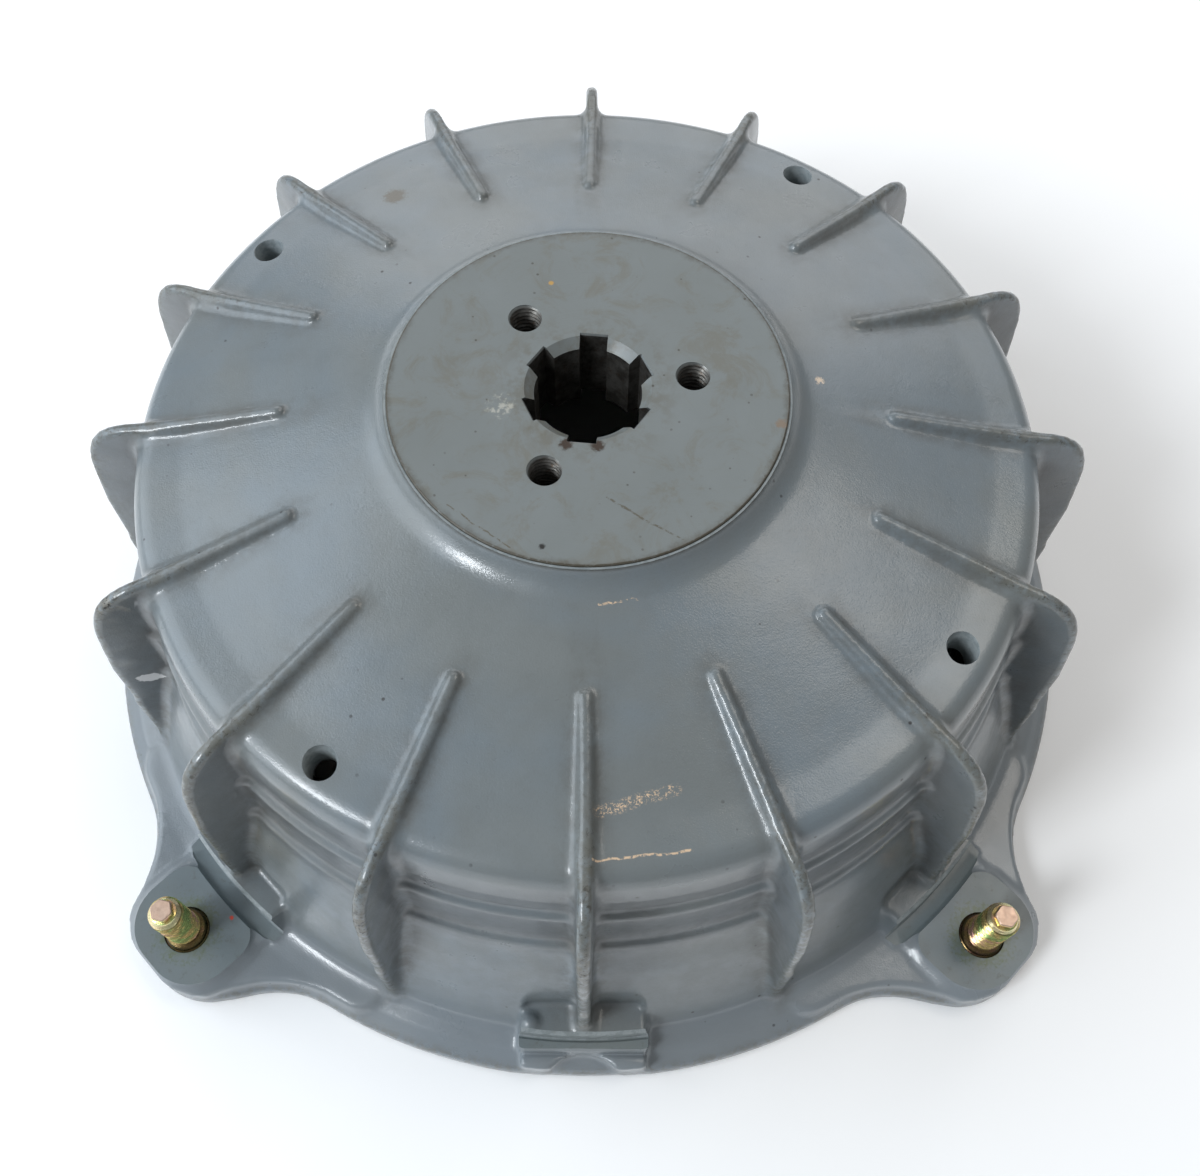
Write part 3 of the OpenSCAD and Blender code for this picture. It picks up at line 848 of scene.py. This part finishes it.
def make_casting():
    points, quads, field, origin = casting_skin()
    obj = mesh_object("casting_visual", points, quads, ENAMEL)
    mod = obj.modifiers.new("fewer", "DECIMATE")
    mod.ratio = TARGET_FACES / (2 * len(quads))
    settle(obj)

    rim_z = HEIGHT - 0.5
    seat = lathe("seat_cut", [(0, 78), (BOSS_R, 78), (BOSS_R, SEAT_Z), (SEAT_R, SEAT_Z), (SEAT_R, rim_z),
                              (60, rim_z), (60, 112), (0, 112)], 192, MILLED)
    inner = [(0, -9), (170, -9), (170, 0), (101, 0), (101, 5), (98, 8), (98, 62), (96, 62), (96, 66)]
    inner += arc((88, 66), 8, 10, 74, 6) + [(50, 83), (44, 79), (BOSS_R + 0.6, 79)]
    inner += [(BOSS_R - 1, 79.4), (0, 79.4)]
    hollow = lathe("hollow_cut", inner, 160, INSIDE, 0.013)
    bm = bmesh.new()
    turned = [(PILOT_R, 15.4), (PILOT_R - 0.8, 16.0), (PILOT_R - 0.8, 26), (154, 26)]
    for angle in LUG_ANGLES:
        sector(bm, [(154, PAD_Z), (PAD_IN + 0.5, PAD_Z), (PAD_IN - 0.1, TURN_Z + 0.4), (PAD_IN - 0.6, TURN_Z),
                    (PILOT_R + 0.5, TURN_Z), (PILOT_R, TURN_Z + 0.5)] + turned, angle, 9.5)
    sector(bm, [(154, STRIP_Z), (PILOT_R + 0.9, STRIP_Z), (PILOT_R + 0.5, STRIP_Z - 0.35), (PILOT_R, STRIP_Z)]
           + turned, 0, 9.5)
    mill = mesh_from_bmesh("pilot_cut", bm, MILLED)
    bm = bmesh.new()
    drilled = [(0, 60), (3.3, 60), (3.3, 79.9), (3.75, 80.6), (3.75, 90), (0, 90)]
    for angle in SHOULDER_ANGLES:
        spin(bm, drilled, 32, centre=at(SHOULDER_R, angle))
    stud_hole = [(0, -4), (7.2, -4), (7.2, 2.7), (5.45, 2.7), (5.45, 24), (0, 24)]
    for angle in LUG_ANGLES:
        spin(bm, stud_hole, 40, centre=at(STUD_R, angle))
    holes = mesh_from_bmesh("hole_cut", bm, MILLED)
    carve(obj, seat, hollow, mill, holes)
    return obj, field, origin


def nearest_fin(points):
    """Number of the fin nearest to each point, counted from the front."""
    turns = np.degrees(np.arctan2(points[:, 0], -points[:, 1])) * FIN_COUNT / 360
    return np.round(turns).astype(int) % FIN_COUNT


def mark_casting(obj):
    """Machined base faces get bare alloy, and masks of wear, dirt and painted shade are stored on the points.
    """
    mesh = obj.data
    inside = [m.name for m in mesh.materials].index(INSIDE.name)
    alloy = len(mesh.materials)
    mesh.materials.append(ALLOY)
    for poly in mesh.polygons:
        if poly.material_index == inside and poly.normal.z < -0.99 and poly.center.z < 0.0005:
            poly.material_index = alloy
    co = np.empty(len(mesh.vertices) * 3, np.float32)
    mesh.vertices.foreach_get("co", co)
    co = co.reshape(-1, 3) / MM
    edge = np.zeros(len(co), np.float32)
    nose = np.zeros(len(co), np.float32)
    crevice = np.zeros(len(co), np.float32)
    flank = np.zeros(len(co), np.float32)
    for i in range(0, len(co), 40000):
        block = co[i:i + 40000]
        _, s, fins, near = casting_shape(block[:, 0], block[:, 1], GRID_Z)
        k = np.clip((block[:, 2] - GRID_Z[0]) / STEP, 0, len(GRID_Z) - 1.01)
        j = k.astype(int)
        w = k - j
        n = np.arange(len(block))
        pick = lambda f: f[n, j] * (1 - w) + f[n, j + 1] * w
        s, fins, near = pick(s), pick(fins), pick(near)
        r = np.hypot(block[:, 0], block[:, 1])
        on_fin = np.clip(1.6 - np.abs(fins) / 0.35, 0, 1)
        rim = on_fin * np.clip(1 - (np.abs(s) - 0.5) / 1.6, 0, 1)
        edge[i:i + 40000] = rim * np.clip((r - 74) / 26, 0.25, 1)
        high = NOSE_HIGH[nearest_fin(block)]
        nose_r, nose_z = 114.5 - 5 * high, 66 + 13 * high
        near_nose = np.exp(-((r - nose_r) / 4.2) ** 2 - ((block[:, 2] - nose_z) / 10) ** 2)
        nose[i:i + 40000] = rim * near_nose
        flank[i:i + 40000] = on_fin * np.clip((-s - 0.8) / 2, 0, 1) * np.clip((r - 86) / 10, 0, 1)
        crevice[i:i + 40000] = near
    r = np.hypot(co[:, 0], co[:, 1])
    low_rim = np.clip((r - 124.5) / 1.5, 0, 1) * np.clip((5 - co[:, 2]) / 1.5, 0, 1)
    wall = np.clip((r - 99) / 4, 0, 1) * np.clip((64 - co[:, 2]) / 20, 0, 1) * np.clip((118 - r) / 4, 0, 1)
    # The lower wall between the fins adds to the mask of dirt and painted shade.
    crevice = np.clip(crevice + 0.30 * wall, 0, 1)
    between = np.clip((r - 100.4) / 1.2, 0, 1) * np.clip((106.6 - r) / 1.2, 0, 1)
    upright = between * np.clip((77 - co[:, 2]) / 4, 0, 1)
    normals = np.empty(len(co) * 3, np.float32)
    mesh.vertex_normals.foreach_get("vector", normals)
    facing = 1 - np.clip(np.abs(normals.reshape(-1, 3)[:, 2]) * 1.8 - 0.3, 0, 1)
    # Mask of painted shade on upright faces between the fins.
    upright_shade = np.maximum(upright, 0.85 * flank) * facing
    nose *= NOSE_WEAR[nearest_fin(co)]
    masks = {"fin_edge": edge, "fin_nose": nose, "crevice": crevice, "rim": low_rim, "upright_shade": upright_shade}
    for name, values in masks.items():
        attr = mesh.attributes.new(name, "FLOAT", "POINT")
        attr.data.foreach_set("value", values.astype(np.float32))


# ---------------------------------------------------------------- the other pieces

def thread_grid(name, radius, z0, z1, dz, segments, centre, material):
    """A closed solid whose radius is a function of angle and height."""
    rows = int(round((z1 - z0) / dz))
    zs = np.linspace(z0, z1, rows + 1)
    angles = np.arange(segments) * 2 * np.pi / segments
    ang, zz = np.meshgrid(angles, zs)
    rr = radius(ang, zz)
    pts = np.stack([centre[0] + rr * np.cos(ang), centre[1] + rr * np.sin(ang), zz], axis=-1).reshape(-1, 3)
    i, j = np.meshgrid(np.arange(rows), np.arange(segments), indexing="ij")
    i, j = i.ravel(), j.ravel()
    k = (j + 1) % segments
    low, up = i * segments, (i + 1) * segments
    quads = np.stack([low + j, low + k, up + k, up + j], axis=1)
    bm = bmesh.new()
    verts = [bm.verts.new(p * MM) for p in pts]
    bm.verts.ensure_lookup_table()
    for q in quads:
        bm.faces.new([verts[v] for v in q])
    bm.faces.new([verts[v] for v in range(segments)][::-1])
    bm.faces.new([verts[rows * segments + v] for v in range(segments)])
    return mesh_from_bmesh(name, bm, material)


def screw(ang, zz, major, minor, pitch):
    """Radius of a 60 degree thread with flat crests."""
    phase = (zz / pitch - ang / (2 * np.pi)) % 1.0
    v = np.abs(phase - 0.5) * 2
    return minor + (major - minor) * np.clip((v - 0.12) / 0.72, 0, 1)


def make_hub():
    top = HEIGHT
    profile = [(0, 78), (31.2, 78), (31.95, 78.8), (31.95, SEAT_Z + 0.02), (42.52, SEAT_Z + 0.02),
               (42.52, top - 0.22), (42.30, top), (0, top)]
    hub = lathe("hub_visual", profile, 192, HUB, 0.0081)
    outline = []
    half = SPLINE_GROOVE / 2
    minor, major = SPLINE_MINOR_R, SPLINE_MAJOR_R
    for i in range(6):
        mid = math.radians(-90 + SPLINE_TURN + 60 * i)
        for radius, side in ((minor, -1), (major, -1), (major, 1), (minor, 1)):
            off = side * math.asin(half / radius)
            outline.append((radius * math.cos(mid + off), radius * math.sin(mid + off)))
        start = mid + math.asin(half / minor)
        end = mid + math.radians(60) - math.asin(half / minor)
        for k in range(1, 5):
            a = start + (end - start) * k / 5
            outline.append((minor * math.cos(a), minor * math.sin(a)))
    bm = bmesh.new()
    levels = [(70, 1.0), (97.6, 1.0), (98.0, 1.022), (104, 1.05)]
    rows = [[bm.verts.new((px * s * MM, py * s * MM, z * MM)) for px, py in outline] for z, s in levels]
    for low, up in zip(rows, rows[1:]):
        for i in range(len(low)):
            j = (i + 1) % len(low)
            bm.faces.new([low[i], low[j], up[j], up[i]])
    bm.faces.new(rows[0][::-1])
    bm.faces.new(rows[-1])
    bore = mesh_from_bmesh("bore_cut", bm, BORE)
    land = lathe("land_cut", [(0, 95), (minor - 1, 95), (13.45, HEIGHT - 0.05), (14.5, 99), (0, 99)],
                 96, HUB, 0.011)
    cutters = [bore, land]
    for angle in TAPPED_ANGLES:
        def wall(ang, zz):
            rr = screw(ang, zz, 3.85, 3.3, 1.25)
            rr = np.where(zz < 85.5, np.minimum(rr, 3.3), rr)
            lead = np.clip((zz - 97.5) / 0.5, 0, 1)
            return np.maximum(rr, 3.35 + 0.22 * lead)
        cutters.append(thread_grid("tap_cut", wall, 83.0, 98.6, 0.15, 36, at(TAPPED_R, angle), BORE))
    carve(hub, *cutters)
    finish_shading(hub, 28)
    return hub


def make_ring():
    z0, z1 = 14.05, 61.95
    low = [(93.0, z0 + 1), (93.15, z0 + 0.4), (94, z0), (97.95, z0)]
    high = [(97.95, z1), (94, z1), (93.15, z1 - 0.4), (93.0, z1 - 1)]
    ring = lathe("ring_visual", low + high, 192, IRON, 0.02)
    finish_shading(ring, 25)
    return ring


def make_stud(name, angle, number):
    turn = RNG_STUD[number]

    def radius(ang, zz):
        rr = screw(ang + turn, zz, 3.98, 3.30, 1.25)
        rr = np.where(zz > 26.6, np.minimum(rr, 3.98 - 1.05 * np.clip((zz - 26.7) / 1.2, 0, 1)), rr)
        flats = 6
        fold = (ang + turn) % (2 * np.pi / flats) - np.pi / flats
        hexagon = 2.38 / np.cos(fold)
        dog = np.minimum(hexagon, 2.62) - 0.28 * np.clip((zz - 29.9) / 0.4, 0, 1) ** 2
        rr = np.where(zz > 28.35, dog, rr)
        chamfer = np.clip((zz - 10.2) / 0.7, 0, 1)
        neck = 0.5 * np.clip((zz - 9.0) / 0.3, 0, 1) + 2.0 * np.clip((zz - 10.85) / 0.35, 0, 1)
        collar = 5.4 - 0.4 * chamfer - neck
        rr = np.where(zz < 11.25, np.maximum(collar, 3.45), rr)
        rr = np.where(zz < 2.6, 6.8 - 0.5 * np.clip(0.8 - zz, 0, 0.4), rr)
        return rr

    obj = thread_grid(name, radius, 0.4, 30.3, 0.13, 48, at(STUD_R, angle), ZINC)
    mesh = obj.data
    co = np.empty(len(mesh.vertices) * 3, np.float32)
    mesh.vertices.foreach_get("co", co)
    co = co.reshape(-1, 3) / MM
    out = np.hypot(*(co[:, :2] - np.array(at(STUD_R, angle))).T)
    # Mask of the thread roots, for painted shade in the grooves.
    root = np.clip((3.80 - out) / 0.30, 0, 1) * (co[:, 2] > 11.0) * (co[:, 2] < 26.8)
    mesh.attributes.new("root", "FLOAT", "POINT").data.foreach_set("value", root.astype(np.float32))
    finish_shading(obj, 38)
    return obj


RNG_STUD = RNG.uniform(0, 6.28, 4)

casting, cast_field, cast_origin = make_casting()
mark_casting(casting)
finish_shading(casting, 40, seams=False)
smooth_normals(casting, cast_field, cast_origin)
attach(casting, "root")
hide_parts("drum_casting")

hub = make_hub()
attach(hub, "root")
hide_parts("splined_hub")

ring = make_ring()
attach(ring, "root")
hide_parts("friction_ring")

for number, (node, angle) in enumerate((("stud_rear_left", -135), ("stud_front_left", -45),
                                        ("stud_front_right", 45), ("stud_rear_right", 135))):
    stud = make_stud(node + "_visual", angle, number)
    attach(stud, "root")
    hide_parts(node)


# ---------------------------------------------------------------- stage, light, camera

FLOOR_Z = -0.3


def make_floor():
    p = Paint("pale_floor")
    colour = p.mix(p.noise(0.01, 2), (0.95, 0.95, 0.95), (0.97, 0.97, 0.97))
    p.set(color=colour, rough=0.7)
    corners = [(x, y, FLOOR_Z) for x, y in ((-2500, -2500), (2500, -2500), (2500, 2500), (-2500, 2500))]
    floor = mesh_object("floor", corners, [(0, 1, 2, 3)], p.material)


def softbox(name, place, target, size, power, colour):
    data = bpy.data.lights.new(name, "AREA")
    data.shape = "RECTANGLE"
    data.size, data.size_y = size
    data.energy = power
    data.color = colour
    obj = bpy.data.objects.new(name, data)
    bpy.context.scene.collection.objects.link(obj)
    obj.location = place
    obj.rotation_euler = (Vector(target) - Vector(place)).to_track_quat("-Z", "Y").to_euler()
    return obj


make_floor()
world = bpy.data.worlds.new("studio")
world.use_nodes = True
world.node_tree.nodes["Background"].inputs[0].default_value = (0.96, 0.98, 1.0, 1)
world.node_tree.nodes["Background"].inputs[1].default_value = 0.32
bpy.context.scene.world = world

softbox("window", (-1.10, -0.78, 1.17), (0, 0, 0.05), (0.42, 0.50), 14, (0.92, 0.96, 1.0))
softbox("left", (-1.40, -0.05, 0.95), (0, 0, 0.05), (1.9, 1.5), 22, (0.82, 0.91, 1.0))
softbox("right", (0.75, 0.35, 1.50), (0, 0, 0.05), (0.8, 0.8), 6, (1.0, 0.95, 0.88))
softbox("back", (0.15, 1.60, 0.95), (0, 0, 0.05), (2.4, 1.1), 12, (0.97, 0.98, 1.0))

TURN = math.radians(-0.524)
LOOK = Matrix.Rotation(TURN, 3, "Z") @ Vector((0.0032, -0.0473, 0.098))
ELEVATION = math.radians(63.39)
AWAY = Matrix.Rotation(TURN, 3, "Z") @ Vector((0, -math.cos(ELEVATION), math.sin(ELEVATION)))
camera_data = bpy.data.cameras.new("camera")
camera_data.lens = 38.247
camera_data.sensor_width = 36
camera_data.sensor_fit = "HORIZONTAL"
camera_data.clip_start = 0.01
camera = bpy.data.objects.new("camera", camera_data)
bpy.context.scene.collection.objects.link(camera)
camera.location = LOOK + 0.24725 * AWAY
camera.rotation_mode = "QUATERNION"
roll = Matrix.Rotation(math.radians(0.92), 3, "Z")
camera.rotation_quaternion = ((-AWAY).to_track_quat("-Z", "Y").to_matrix() @ roll).to_quaternion()
bpy.context.scene.camera = camera
bpy.context.scene.view_settings.view_transform = "Standard"
